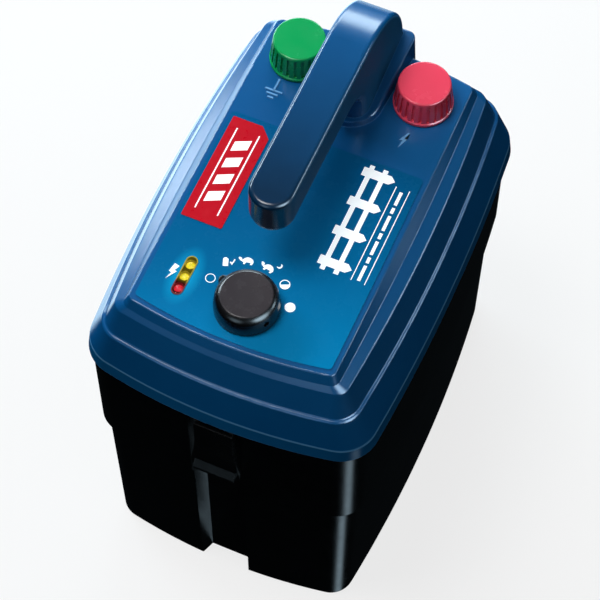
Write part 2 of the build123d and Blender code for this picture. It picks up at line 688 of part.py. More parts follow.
with BuildPart() as thyristor:
    with Locations((-14.0, HEATSINK_Y + 2.3, BOARD_UNDER - 8.5)):
        Box(10.0, 4.6, 9.0)
    with Locations((-14.0, HEATSINK_Y + 0.6, BOARD_UNDER - 14.5)):
        Box(10.0, 1.2, 6.0)
    with Locations((-14.0, HEATSINK_Y + 2.4, BOARD_UNDER)):
        with GridLocations(2.54, 0, 3, 1):
            Box(0.8, 0.6, 4.2, align=(Align.CENTER, Align.CENTER, Align.MAX))
save(thyristor, "thyristor")

with BuildPart() as control_chip:
    with Locations((20.0, -44.0, BOARD_UNDER - 2.4)):
        Box(22.8, 6.4, 3.4)
    fillet(control_chip.edges().filter_by(Axis.X), 0.4)
    for row in (-1, 1):
        with Locations((20.0, -44.0 + row * 3.6, BOARD_UNDER)):
            with GridLocations(2.54, 0, 9, 1):
                Box(0.6, 1.0, 2.4, align=(Align.CENTER, Align.CENTER, Align.MAX))
save(control_chip, "control_chip")

with BuildPart() as resistors:
    for resistor_y in (-64.0, -58.0, 56.0, 62.0):
        with Locations(Location((24.0, resistor_y, BOARD_UNDER - 2.0), (0, 90, 0))):
            Cylinder(1.6, 8.0)
            Cylinder(0.35, 15.0)
        with Locations((16.6, resistor_y, BOARD_UNDER), (31.4, resistor_y, BOARD_UNDER)):
            Box(0.8, 0.8, 2.4, align=(Align.CENTER, Align.CENTER, Align.MAX))
save(resistors, "resistors")

# supply contacts under the inner cover, which meet the battery's plates as the lid closes
with BuildPart() as lid_contact_block:
    with BuildSketch(Plane.XY.offset(LAND_Z)):
        with Locations((0, CONTACT_Y)):
            RectangleRounded(32.0, 10.0, 1.5)
        with Locations((-CONTACT_X, CONTACT_Y), (CONTACT_X, CONTACT_Y)):
            Circle(2.5, mode=Mode.SUBTRACT)
    extrude(amount=-3.4)
save(lid_contact_block, "lid_contact_block")

PIN_TOP = COVER_TOP + 4.0
with BuildPart() as lid_contact_pins:
    for side in (-1, 1):
        with Locations((side * CONTACT_X, CONTACT_Y, BLOCK_TOP + 0.6)):
            Cylinder(2.45, LAND_Z - BLOCK_TOP - 0.6, align=(Align.CENTER, Align.CENTER, Align.MIN))
        with Locations((side * CONTACT_X, CONTACT_Y, LAND_Z)):
            Cylinder(1.5, PIN_TOP - LAND_Z, align=(Align.CENTER, Align.CENTER, Align.MIN))
    fillet(level_edges(lid_contact_pins, BLOCK_TOP + 0.6), 1.4)
save(lid_contact_pins, "lid_contact_pins")

for side, pole in ((-1, "negative"), (1, "positive")):
    supply_points = [
        (side * CONTACT_X, CONTACT_Y, PIN_TOP),
        (side * CONTACT_X, CONTACT_Y, PIN_TOP + 9.0),
        (side * CONTACT_X, 74.0, PIN_TOP + 9.0),
        (side * CONTACT_X, 74.0, BOARD_UNDER),
    ]
    save(tube(supply_points, [5.0, 4.5], 1.2), f"supply_lead_{pole}")

# ------------------------------------------------------------------ overlay and indicators
deck_outline = LID_TIERS[-1]
with BuildPart() as label_panel:
    with BuildSketch(Plane.XY.offset(DECK_Z)) as label_face:
        add(bowed(inset(deck_outline, 2.6)._replace(corner=2.2)))
        with Locations((0, LABEL_BACK)):
            Rectangle(140.0, 80.0, align=(Align.CENTER, Align.MIN), mode=Mode.SUBTRACT)
        fillet(label_face.vertices().group_by(Axis.Y)[-1], 2.2)
        with Locations((SELECTOR_X, SELECTOR_Y)):
            Circle(4.8, mode=Mode.SUBTRACT)
        with Locations((WINDOW_X, WINDOW_Y)):
            SlotOverall(WINDOW_LENGTH + 0.3, WINDOW_WIDTH + 0.3, rotation=90, mode=Mode.SUBTRACT)
    extrude(amount=LABEL_THICK)
save(label_panel, "label_panel")

with BuildPart() as badge_plate:
    with BuildSketch(Plane.XY.offset(LABEL_TOP)) as badge_face:
        with BuildLine():
            Polyline((-49.3, -37.0), (-49.3, 25.0), (-33.5, 25.0), (-27.8, 19.0), (-27.8, -37.0),
                     close=True)
        make_face()
        fillet(badge_face.vertices(), 0.6)
    extrude(amount=0.3)
save(badge_plate, "badge_plate")

LENS_BOTTOM = LABEL_TOP - 0.6
with BuildPart() as led_bezel:
    with BuildSketch(Plane.XY.offset(DECK_UNDER)):
        with Locations((WINDOW_X, WINDOW_Y)):
            SlotOverall(WINDOW_LENGTH + 3.4, WINDOW_WIDTH + 3.4, rotation=90)
    extrude(amount=-1.4)
    with BuildSketch(Plane.XY.offset(DECK_UNDER - 1.4)):
        with Locations((WINDOW_X, WINDOW_Y)):
            SlotOverall(WINDOW_LENGTH, WINDOW_WIDTH, rotation=90)
    extrude(amount=LABEL_TOP + 0.3 - DECK_UNDER + 1.4)
    with BuildSketch(Plane.XY.offset(LENS_BOTTOM)):
        with Locations((WINDOW_X, WINDOW_Y)):
            SlotOverall(WINDOW_LENGTH - 1.0, WINDOW_WIDTH - 1.0, rotation=90)
    extrude(amount=3.0, mode=Mode.SUBTRACT)
    with Locations((WINDOW_X, WINDOW_Y, LENS_BOTTOM)):
        with GridLocations(0, LED_PITCH, 1, 3):
            Cylinder(2.6, 20.0, mode=Mode.SUBTRACT)
save(led_bezel, "led_bezel")

with BuildPart() as led_window:
    with BuildSketch(Plane.XY.offset(LENS_BOTTOM)):
        with Locations((WINDOW_X, WINDOW_Y)):
            SlotOverall(WINDOW_LENGTH - 1.1, WINDOW_WIDTH - 1.1, rotation=90)
    extrude(amount=0.7)
    fillet(level_edges(led_window, LENS_BOTTOM + 0.7), 0.2)
save(led_window, "led_window")


def lamps(places):
    """Five-millimetre lamps with domed tops, standing on wire legs above the board."""
    with BuildPart() as group:
        for y in places:
            with Locations((WINDOW_X, y, BOARD_TOP + 4.0)):
                Cylinder(2.9, 1.0, align=(Align.CENTER, Align.CENTER, Align.MIN))
                Cylinder(2.5, LENS_BOTTOM - BOARD_TOP - 6.6,
                         align=(Align.CENTER, Align.CENTER, Align.MIN))
            with Locations((WINDOW_X, y, LENS_BOTTOM - 2.6)):
                Sphere(2.5)
            for leg_y in (y - 1.27, y + 1.27):
                with Locations((WINDOW_X, leg_y, BOARD_TOP)):
                    Box(0.5, 0.5, 4.0, align=(Align.CENTER, Align.CENTER, Align.MIN))
    return group


save(lamps([WINDOW_Y + LED_PITCH, WINDOW_Y]), "led_yellow")
save(lamps([WINDOW_Y - LED_PITCH]), "led_red")

# ------------------------------------------------------------------ selector
BUSH_TOP = DECK_Z + 2.7
SHAFT_R = 3.0
SHAFT_TOP = DECK_Z + 9.6
with BuildPart() as selector_switch:
    with BuildSketch(Plane.XY.offset(BOARD_TOP)):
        with Locations((SELECTOR_X, SELECTOR_Y + 2.0)):
            RectangleRounded(20.0, 20.0, 1.5)
    extrude(amount=DECK_UNDER - BOARD_TOP)
    with Locations((SELECTOR_X, SELECTOR_Y, DECK_UNDER)):
        Cylinder(4.5, BUSH_TOP - DECK_UNDER, align=(Align.CENTER, Align.CENTER, Align.MIN))
    with Locations((SELECTOR_X, SELECTOR_Y, BOARD_TOP + 1.4)):
        Cylinder(SHAFT_R + RUNNING, 30.0, align=(Align.CENTER, Align.CENTER, Align.MIN),
                 mode=Mode.SUBTRACT)
save(selector_switch, "selector_switch")

with BuildPart() as switch_nut:
    with BuildSketch(Plane.XY.offset(LABEL_TOP)):
        with Locations((SELECTOR_X, SELECTOR_Y)):
            RegularPolygon(6.9, 6)
            Circle(4.52, mode=Mode.SUBTRACT)
    extrude(amount=2.1)
save(switch_nut, "switch_nut")

with BuildPart() as selector_shaft:
    with Locations((SELECTOR_X, SELECTOR_Y, BOARD_TOP + 1.8)):
        Cylinder(SHAFT_R, SHAFT_TOP - BOARD_TOP - 1.8, align=(Align.CENTER, Align.CENTER, Align.MIN))
    chamfer(level_edges(selector_shaft, SHAFT_TOP), 0.5)
save(selector_shaft, "selector_shaft")

KNOB_FOOT = LABEL_TOP + 0.6
KNOB_TOP = DECK_Z + 12.6
GRUB_Z = DECK_Z + 6.6
grub_plane = Plane(
    origin=(SELECTOR_X, SELECTOR_Y, GRUB_Z),
    x_dir=(0, 0, 1),
    z_dir=(math.cos(math.radians(30)), -math.sin(math.radians(30)), 0),
)
with BuildPart() as pointer_nub:
    with BuildSketch(Plane.XY.offset(KNOB_FOOT + 1.0)):
        with Locations((14.2, 0)):
            SlotOverall(7.0, 5.0)
    extrude(amount=KNOB_TOP - KNOB_FOOT - 4.8)
    fillet(level_edges(pointer_nub, KNOB_TOP - 3.8), 0.8)

with BuildPart() as turned_knob:
    with BuildSketch(Plane.XZ):
        with BuildLine():
            Polyline((0, KNOB_TOP), (0, KNOB_FOOT), (16.0, KNOB_FOOT), (16.0, KNOB_FOOT + 1.2))
            ThreePointArc((16.0, KNOB_FOOT + 1.2), (15.95, KNOB_FOOT + 4.4), (15.5, KNOB_FOOT + 7.4))
            ThreePointArc((15.5, KNOB_FOOT + 7.4), (14.4, KNOB_TOP - 1.5), (12.3, KNOB_TOP))
            Line((12.3, KNOB_TOP), (0, KNOB_TOP))
        make_face()
    revolve(axis=Axis.Z)
    fillet(level_edges(turned_knob, KNOB_TOP), 0.3)
    with Locations(Location((0, 0, 0), (0, 0, POINTER_ANGLE))):
        add(pointer_nub.part)
    # the hollow foot and the shaft bore
    with Locations((0, 0, KNOB_FOOT)):
        Cylinder(8.2, 2.6, align=(Align.CENTER, Align.CENTER, Align.MIN), mode=Mode.SUBTRACT)
        Cylinder(SHAFT_R + 0.02, SHAFT_TOP + 0.1 - KNOB_FOOT,
                 align=(Align.CENTER, Align.CENTER, Align.MIN), mode=Mode.SUBTRACT)

with BuildPart() as selector_knob:
    add(turned_knob.part.moved(Location((SELECTOR_X, SELECTOR_Y, 0))))
    with BuildSketch(grub_plane):
        Circle(1.55)
    extrude(amount=20.0, mode=Mode.SUBTRACT)
save(selector_knob, "selector_knob")

with BuildPart() as knob_grub_screw:
    with BuildSketch(grub_plane.offset(SHAFT_R + 0.02)):
        Circle(1.5)
    extrude(amount=7.0)
    with BuildSketch(grub_plane.offset(SHAFT_R + 5.6)):
        RegularPolygon(0.85, 6)
    extrude(amount=4.0, mode=Mode.SUBTRACT)
save(knob_grub_screw, "knob_grub_screw")

# ------------------------------------------------------------------ terminals
STUD_TOP = DECK_Z + 13.0
TAG_THICK = 0.8
NUT_TOP = DECK_UNDER - TAG_THICK
WASHER_BOTTOM = DECK_Z + 1.3
WASHER_TOP = DECK_Z + 2.8
TAG_BARREL_Z = DECK_UNDER - 2.0
stud_places = [(-TERMINAL_X, TERMINAL_Y), (TERMINAL_X, TERMINAL_Y)]
with BuildPart() as terminal_studs:
    with BuildSketch(Plane.XY.offset(BOARD_TOP + 2.0)):
        with Locations(*stud_places):
            Circle(STUD_R)
    extrude(amount=STUD_TOP - BOARD_TOP - 2.0)
    chamfer(level_edges(terminal_studs, STUD_TOP), 0.7)
    with BuildSketch(Plane.XY.offset(DECK_Z)):
        with Locations(*stud_places):
            Circle(8.0)
    extrude(amount=1.2)
save(terminal_studs, "terminal_studs")

with BuildPart() as ring_tags:
    with BuildSketch(Plane.XY.offset(NUT_TOP)):
        with Locations(*stud_places):
            Circle(7.5)
            with Locations((0, -9.0)):
                Rectangle(3.6, 5.0)
        with Locations(*stud_places):
            Circle(STUD_R + 0.05, mode=Mode.SUBTRACT)
    extrude(amount=TAG_THICK)
    for stud_x, stud_y in stud_places:
        with Locations(Location((stud_x, stud_y - 12.5, TAG_BARREL_Z), (90, 0, 0))):
            Cylinder(2.0, 5.0)
save(ring_tags, "ring_tags")

with BuildPart() as stud_nuts:
    with BuildSketch(Plane.XY.offset(NUT_TOP)):
        with Locations(*stud_places):
            RegularPolygon(7.5, 6)
            Circle(STUD_R + 0.02, mode=Mode.SUBTRACT)
    extrude(amount=-5.0)
save(stud_nuts, "stud_nuts")

with BuildPart() as flute:
    with BuildSketch(Plane.XZ):
        with BuildLine():
            Polyline((13.5, DECK_Z + 3.2), (13.2, DECK_Z + 8.0), (12.6, DECK_Z + 12.0),
                     (12.1, DECK_Z + 15.4), (16.0, DECK_Z + 15.4), (16.0, DECK_Z + 3.2),
                     close=True)
        make_face()
    extrude(amount=0.8, both=True)

for side, circuit in ((-1, "earth"), (1, "fence")):
    stud_x = side * TERMINAL_X
    with BuildPart() as clamp_washer:
        with BuildSketch(Plane.XY.offset(WASHER_BOTTOM)):
            with Locations((stud_x, TERMINAL_Y)):
                Circle(10.5)
                Circle(STUD_R + 0.3, mode=Mode.SUBTRACT)
        extrude(amount=WASHER_TOP - WASHER_BOTTOM)
        fillet(level_edges(clamp_washer, WASHER_TOP).sort_by(SortBy.LENGTH)[-1], 0.4)
    save(clamp_washer, f"{circuit}_clamp_washer")

    with BuildPart() as terminal_knob:
        with BuildSketch(Plane.XZ):
            with BuildLine():
                Polyline((0, DECK_Z + 17.1), (0, DECK_Z + 0.9), (15.1, DECK_Z + 0.9),
                         (15.1, DECK_Z + 2.3), (14.6, DECK_Z + 2.8))
                ThreePointArc((14.6, DECK_Z + 2.8), (14.2, DECK_Z + 9.0), (13.1, DECK_Z + 17.1))
                Line((13.1, DECK_Z + 17.1), (0, DECK_Z + 17.1))
            make_face()
        revolve(axis=Axis.Z)
        fillet(level_edges(terminal_knob, DECK_Z + 17.1), 1.0)
        # grip flutes that follow the side, from the flange to just under the top
        with PolarLocations(0, KNOB_GROOVES):
            add(flute.part, mode=Mode.SUBTRACT)
        # hollow for the clamp washer and pocket for the threaded insert
        with Locations((0, 0, DECK_Z)):
            Cylinder(11.2, WASHER_TOP + 0.1 - DECK_Z,
                     align=(Align.CENTER, Align.CENTER, Align.MIN), mode=Mode.SUBTRACT)
            Cylinder(6.5, 14.5, align=(Align.CENTER, Align.CENTER, Align.MIN), mode=Mode.SUBTRACT)
    terminal_knob.part.move(Location((stud_x, TERMINAL_Y, 0)))
    save(terminal_knob, f"{circuit}_knob")

    with BuildPart() as knob_insert:
        with BuildSketch(Plane.XY.offset(WASHER_TOP + 0.1)):
            with Locations((stud_x, TERMINAL_Y)):
                Circle(6.48)
                Circle(STUD_R + 0.06, mode=Mode.SUBTRACT)
        extrude(amount=DECK_Z + 14.5 - WASHER_TOP - 0.1)
    save(knob_insert, f"{circuit}_knob_insert")

    output_points = [
        (stud_x, TERMINAL_Y - 15.0, TAG_BARREL_Z),
        (stud_x, TERMINAL_Y - 27.0, TAG_BARREL_Z),
        (stud_x, TERMINAL_Y - 27.0, BOARD_TOP),
    ]
    save(tube(output_points, [7.0], 1.2), f"{circuit}_lead")

# ------------------------------------------------------------------ latch
LATCH_FACE = -112.4
LATCH_TOP = LATCH_Z + 1.0
LATCH_BOTTOM = LATCH_Z - 45.0
NOSE_TOP = BEAD_Z - 2.6
with BuildPart() as latch_lever:
    with BuildSketch(Plane.XZ.offset(-LATCH_FACE)) as latch_plate:
        with BuildLine():
            Polyline((-10.4, LATCH_TOP), (10.4, LATCH_TOP), (10.4, LATCH_BOTTOM + 26.0),
                     (13.2, LATCH_BOTTOM + 6.0), (13.2, LATCH_BOTTOM), (-13.2, LATCH_BOTTOM),
                     (-13.2, LATCH_BOTTOM + 6.0), (-10.4, LATCH_BOTTOM + 26.0), close=True)
        make_face()
        fillet(latch_plate.vertices().group_by(Axis.Y)[0], 2.0)
        fillet(latch_plate.vertices().group_by(Axis.Y)[-1], 1.0)
    extrude(amount=-2.4)
    # finger lip
    with BuildSketch(Plane.YZ):
        with BuildLine():
            Polyline((LATCH_FACE + 1.0, LATCH_BOTTOM + 6.5), (LATCH_FACE, LATCH_BOTTOM + 6.5),
                     (LATCH_FACE - 2.6, LATCH_BOTTOM + 2.2), (LATCH_FACE - 2.6, LATCH_BOTTOM),
                     (LATCH_FACE + 1.0, LATCH_BOTTOM), close=True)
        make_face()
    extrude(amount=11.0, both=True)
    # nose that snaps under the bead, on a stiffening rib
    with BuildSketch(Plane.YZ):
        with BuildLine():
            Polyline((LATCH_FACE + 2.2, NOSE_TOP), (-103.2, NOSE_TOP), (-102.3, NOSE_TOP - 1.4),
                     (-103.4, NOSE_TOP - 4.0), (LATCH_FACE + 2.2, NOSE_TOP - 7.0), close=True)
        make_face()
    extrude(amount=6.5, both=True)
    # cheeks that carry the pivot
    for cheek_start in (-10.2, 8.2):
        with BuildSketch(Plane.YZ.offset(cheek_start)):
            with Locations((LATCH_Y, LATCH_Z)):
                Circle(4.0)
            with BuildLine():
                Polyline((LATCH_FACE + 1.2, LATCH_TOP - 0.6), (LATCH_Y, LATCH_Z + 3.5),
                         (LATCH_Y + 3.8, LATCH_Z - 1.0), (LATCH_FACE + 3.6, LATCH_Z - 22.0),
                         (LATCH_FACE + 1.2, LATCH_Z - 22.0), close=True)
            make_face()
            with Locations((LATCH_Y, LATCH_Z)):
                Circle(LATCH_PIN_R + RUNNING, mode=Mode.SUBTRACT)
        extrude(amount=2.0)
save(latch_lever, "latch_lever")

with BuildPart() as latch_pin:
    with BuildSketch(Plane.YZ.offset(-10.2)):
        with Locations((LATCH_Y, LATCH_Z)):
            Circle(LATCH_PIN_R)
    extrude(amount=20.4)
save(latch_pin, "latch_pin")
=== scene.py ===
import math

import bmesh
import bpy
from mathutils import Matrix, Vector


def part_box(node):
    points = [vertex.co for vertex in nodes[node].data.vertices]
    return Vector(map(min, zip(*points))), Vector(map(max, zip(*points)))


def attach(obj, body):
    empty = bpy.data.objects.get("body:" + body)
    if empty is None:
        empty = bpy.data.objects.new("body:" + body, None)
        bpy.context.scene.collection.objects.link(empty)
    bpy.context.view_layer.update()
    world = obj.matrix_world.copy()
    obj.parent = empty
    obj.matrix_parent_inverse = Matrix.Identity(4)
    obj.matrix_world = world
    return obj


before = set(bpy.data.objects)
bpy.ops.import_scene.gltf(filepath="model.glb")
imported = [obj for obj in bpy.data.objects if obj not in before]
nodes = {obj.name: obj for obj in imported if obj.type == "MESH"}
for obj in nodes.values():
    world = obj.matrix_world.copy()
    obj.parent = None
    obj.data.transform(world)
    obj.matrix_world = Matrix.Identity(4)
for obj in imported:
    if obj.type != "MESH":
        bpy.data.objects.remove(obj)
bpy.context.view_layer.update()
window_low, window_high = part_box("led_window")
WINDOW = ((window_low.x + window_high.x) / 2, (window_low.y + window_high.y) / 2)
KNOB_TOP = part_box("selector_knob")[1].z
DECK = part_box("label_panel")[0].z
LABEL_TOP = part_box("label_panel")[1].z
BADGE_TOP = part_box("badge_plate")[1].z
RIDGE = DECK - 0.0250  # where the lid's rim turns dull, just below its ridge
LIP = DECK - 0.0424  # top of the rim's upright lip
scene = bpy.context.scene
scene.view_settings.view_transform = "Standard"


# ------------------------------------------------------------------ materials
def linear(*rgb):
    """A colour given as it looks on screen, 0 to 255, as Blender's linear numbers."""
    return tuple((v / 255.0) ** 2.2 for v in rgb) + (1.0,)


def dimmed(base, share):
    """The linear colour base, darkened or lightened by share and kept within 1."""
    return tuple(min(1.0, v * share) for v in base[:3]) + (1.0,)


class Look:
    """A Principled material with helpers for its node patterns, all in object space in metres."""

    def __init__(self, name, rough=0.4, metal=0.0, coat=0.0, specular=0.5):
        self.material = bpy.data.materials.new(name)
        self.material.use_nodes = True
        self.tree = self.material.node_tree
        self.shader = self.tree.nodes["Principled BSDF"]
        self.place = self.tree.nodes.new("ShaderNodeTexCoord").outputs["Object"]
        self.shader.inputs["Roughness"].default_value = rough
        self.shader.inputs["Metallic"].default_value = metal
        self.shader.inputs["Coat Weight"].default_value = coat
        self.shader.inputs["Specular IOR Level"].default_value = specular
        self.heights = []

    def node(self, kind, **values):
        node = self.tree.nodes.new(kind)
        for key, value in values.items():
            setattr(node, key, value)
        return node

    def feed(self, socket, value):
        if isinstance(value, bpy.types.NodeSocket):
            self.tree.links.new(value, socket)
        else:
            socket.default_value = value

    def maths(self, operation, a, b=0.0):
        node = self.node("ShaderNodeMath", operation=operation)
        for socket, value in zip(node.inputs, (a, b)):
            self.feed(socket, value)
        return node.outputs[0]

    def stretch(self, x, y, z):
        node = self.node("ShaderNodeMapping")
        self.feed(node.inputs["Vector"], self.place)
        node.inputs["Scale"].default_value = (x, y, z)
        return node.outputs[0]

    def noise(self, scale, detail=3.0, rough=0.55, vector=None):
        node = self.node("ShaderNodeTexNoise")
        self.feed(node.inputs["Vector"], vector or self.place)
        node.inputs["Scale"].default_value = scale
        node.inputs["Detail"].default_value = detail
        node.inputs["Roughness"].default_value = rough
        return node.outputs["Fac"]

    def span(self, value, low, high, to_low=0.0, to_high=1.0):
        node = self.node("ShaderNodeMapRange")
        self.feed(node.inputs["Value"], value)
        for name, number in (("From Min", low), ("From Max", high),
                             ("To Min", to_low), ("To Max", to_high)):
            node.inputs[name].default_value = number
        return node.outputs["Result"]

    def mix(self, factor, a, b):
        node = self.node("ShaderNodeMix", data_type="RGBA")
        self.feed(node.inputs["Factor"], factor)
        self.feed(node.inputs["A"], a)
        self.feed(node.inputs["B"], b)
        return node.outputs["Result"]

    def axis(self, name):
        node = self.node("ShaderNodeSeparateXYZ")
        self.feed(node.inputs[0], self.place)
        return node.outputs[name]

    def edges(self, radius, low=0.02, high=0.22):
        """1 along convex and concave edges within radius, 0 elsewhere."""
        bevel = self.node("ShaderNodeBevel", samples=4)
        bevel.inputs["Radius"].default_value = radius
        normal = self.node("ShaderNodeNewGeometry").outputs["Normal"]
        dot = self.node("ShaderNodeVectorMath", operation="DOT_PRODUCT")
        self.feed(dot.inputs[0], bevel.outputs[0])
        self.feed(dot.inputs[1], normal)
        return self.span(self.maths("SUBTRACT", 1.0, dot.outputs["Value"]), low, high)

    def colour(self, value):
        self.feed(self.shader.inputs["Base Color"], value)

    def roughness(self, low, high, scale=45.0):
        self.feed(self.shader.inputs["Roughness"],
                  self.span(self.noise(scale, 4.0, 0.62), 0.3, 0.7, low, high))

    def bump(self, height, depth, strength=1.0):
        """Adds a height, 0 to 1, worth depth in metres."""
        self.heights.append((height, depth, strength))

    def done(self):
        normal = None
        for height, depth, strength in self.heights:
            node = self.node("ShaderNodeBump")
            node.inputs["Strength"].default_value = strength
            node.inputs["Distance"].default_value = depth
            self.feed(node.inputs["Height"], height)
            if normal is not None:
                self.feed(node.inputs["Normal"], normal)
            normal = node.outputs[0]
        if normal is not None:
            self.feed(self.shader.inputs["Normal"], normal)
        return self.material


def moulding(name, base, rough, worn, vary=0.06, edge=0.0007, edge_share=0.3, specular=0.5):
    """Moulded plastic: cloudy colour, fine grain, smudged gloss and rubbed edges."""
    look = Look(name, rough=rough, specular=specular)
    cloud = look.span(look.noise(22.0, 4.0, 0.6), 0.32, 0.68)
    shade = look.mix(cloud, dimmed(base, 1.0 - vary), dimmed(base, 1.0 + vary))
    patchy = look.span(look.noise(260.0, 3.0, 0.6), 0.35, 0.62, 0.25, 1.0)
    edge_wear_and_highlight = look.maths("MULTIPLY", look.edges(edge), patchy)
    look.colour(look.mix(look.maths("MULTIPLY", edge_wear_and_highlight, edge_share), shade, worn))
    look.roughness(max(0.04, rough - 0.03), rough + 0.05, 70.0)
    look.bump(look.noise(1500.0, 2.0, 0.5), 0.00003, 0.5)
    return look.done()


def metal(name, base, rough, lines, patina=None):
    """Plated or turned metal: fine tool lines, stretched as lines says, and a little tarnish."""
    look = Look(name, rough=rough, metal=1.0)
    shade = look.mix(look.span(look.noise(120.0, 4.0, 0.6), 0.3, 0.7), dimmed(base, 0.84), base)
    if patina is not None:
        shade = look.mix(look.span(look.noise(420.0, 5.0, 0.7), 0.52, 0.74, 0.0, 0.7), shade, patina)
    look.colour(shade)
    look.roughness(max(0.08, rough - 0.08), rough + 0.12, 300.0)
    look.bump(look.noise(900.0, 2.0, 0.5, look.stretch(*lines)), 0.00003, 0.5)
    look.bump(look.noise(1800.0, 2.0, 0.5), 0.00001, 0.4)
    return look.done()


def threaded(name, base, pitch):
    """Brass or steel with a screw thread's ridges along Z."""
    look = Look(name, rough=0.28, metal=1.0)
    look.colour(look.mix(look.span(look.noise(200.0, 4.0, 0.6), 0.3, 0.7), dimmed(base, 0.75),
                         base))
    look.roughness(0.2, 0.42, 300.0)
    ridge = look.maths("PINGPONG", look.axis("Z"), pitch / 2.0)
    look.bump(look.span(ridge, 0.0, pitch / 2.0), 0.0004, 0.8)
    return look.done()


def lid_plastic(name, edge_share, handled=False):
    """Glossy blue moulding with a painted highlight along its edges, mixed paler there; a handled one
    has painted shade darkening its nose, and painted light on its flanks, which take a colour of
    their own by which way they face.
    """
    look = Look(name, rough=0.23)
    cloud = look.span(look.noise(16.0, 4.0, 0.6), 0.3, 0.7)
    shade = look.mix(cloud, linear(13, 79, 131), linear(17, 85, 138))
    if handled:
        # painted shade: the grip darkens toward its nose, along Y, with a slightly uneven edge
        uneven = look.span(look.noise(60.0, 3.0), 0.3, 0.7, -0.003, 0.003)
        along = look.maths("ADD", look.axis("Y"), uneven)
        shade = look.mix(look.span(along, -0.040, 0.075), linear(0, 42, 68), shade)
        # painted light: faces turned to either side along X get a colour of their own, lifting the
        # shaded flanks; their gloss is lowered too
        normal = look.node("ShaderNodeSeparateXYZ")
        look.feed(normal.inputs[0], look.node("ShaderNodeNewGeometry").outputs["Normal"])
        flank = look.span(look.maths("ABSOLUTE", normal.outputs["X"]), 0.75, 0.97)
        shade = look.mix(flank, shade, linear(2, 84, 124))
        look.feed(look.shader.inputs["Specular IOR Level"], look.span(flank, 0.0, 1.0, 0.5, 0.06))
    else:
        # the rim below the ridge is duller; its lip is painted paler, as painted light, and a painted
        # highlight line runs above it
        look.feed(look.shader.inputs["Specular IOR Level"],
                  look.span(look.axis("Z"), RIDGE - 0.0015, RIDGE, 0.12, 0.5))
        shade = look.mix(look.span(look.axis("Z"), LIP - 0.0008, LIP, 0.7, 0.0), shade,
                         linear(22, 104, 162))
        above = look.maths("ABSOLUTE", look.maths("SUBTRACT", look.axis("Z"), LIP + 0.0003))
        shade = look.mix(look.span(above, 0.0003, 0.0009, 0.55, 0.0), shade, linear(104, 172, 222))
    # painted highlight: the edges are mixed toward pale blue, as if their rounding caught the light
    edge_wear_and_highlight = look.maths("MULTIPLY", look.edges(0.0013),
                     look.span(look.noise(240.0, 3.0, 0.6), 0.3, 0.65, 0.85, 1.0))
    shade = look.mix(look.maths("MULTIPLY", edge_wear_and_highlight, edge_share), shade, linear(96, 152, 206))
    look.colour(shade)
    if handled:
        look.feed(look.shader.inputs["Roughness"], look.span(flank, 0.0, 1.0, 0.23, 0.7))
    else:
        look.roughness(0.22, 0.245, 60.0)
    look.bump(look.noise(1300.0, 2.0, 0.5), 0.00002, 0.5)
    return look.done()


def label_film():
    """Printed film: brightest at its front right corner, deeper blue behind, finely embossed."""
    look = Look("label_film", rough=0.28, specular=0.1)
    along = look.maths("SUBTRACT", look.maths("MULTIPLY", look.axis("Y"), 0.917),
                       look.maths("MULTIPLY", look.axis("X"), 0.4))
    shade = look.mix(look.span(along, -0.100, -0.042), linear(0, 124, 176), linear(0, 95, 141))
    shade = look.mix(look.span(along, -0.042, 0.006), shade, linear(0, 82, 126))
    cloud = look.span(look.noise(30.0, 4.0, 0.6), 0.3, 0.7, 0.0, 0.06)
    shade = look.mix(cloud, shade, linear(10, 84, 132))
    # painted light: the lit lamps' glow falling on the film round their window, mixed in as a lighter
    # blue
    across = look.maths("DIVIDE", look.maths("SUBTRACT", look.axis("X"), WINDOW[0]), 0.0090)
    down = look.maths("DIVIDE", look.maths("SUBTRACT", look.axis("Y"), WINDOW[1]), 0.0175)
    squares = [look.maths("POWER", look.maths("ABSOLUTE", part), 2.0) for part in (across, down)]
    reach = look.maths("SQRT", look.maths("ADD", *squares))
    shade = look.mix(look.span(reach, 0.45, 1.0, 0.55, 0.0), shade, linear(20, 160, 208))
    dots = look.node("ShaderNodeTexVoronoi")
    look.feed(dots.inputs["Vector"], look.place)
    dots.inputs["Scale"].default_value = 1600.0
    look.bump(look.span(dots.outputs["Distance"], 0.0, 0.6), 0.00003, 0.35)
    look.colour(shade)
    look.roughness(0.24, 0.30, 80.0)
    return look.done()


def ink_and_painted_light(name, base, painted_glow=0.0):
    """Screen print ink, slightly raised, with uneven cover, also laid pale as a painted highlight;
    its last argument makes it glow, as painted light that keeps white bright in shade.
    """
    look = Look(name, rough=0.3, specular=0.2)
    look.shader.inputs["Emission Color"].default_value = base
    look.shader.inputs["Emission Strength"].default_value = painted_glow
    cover = look.span(look.noise(900.0, 3.0, 0.6), 0.3, 0.7)
    look.colour(look.mix(cover, dimmed(base, 0.96), base))
    look.roughness(0.26, 0.36, 300.0)
    look.bump(look.noise(2200.0, 2.0, 0.5), 0.00001, 0.5)
    return look.done()


def lamp(name, base, glow, strength):
    """A lit coloured lamp: bright in its middle, deeper at its rim."""
    look = Look(name, rough=0.16, coat=0.6)
    look.colour(look.mix(look.noise(300.0, 3.0), base, dimmed(base, 0.8)))
    look.shader.inputs["Emission Strength"].default_value = strength
    weight = look.node("ShaderNodeLayerWeight")
    weight.inputs["Blend"].default_value = 0.35
    look.feed(look.shader.inputs["Emission Color"], look.mix(weight.outputs["Facing"], glow, base))
    return look.done()


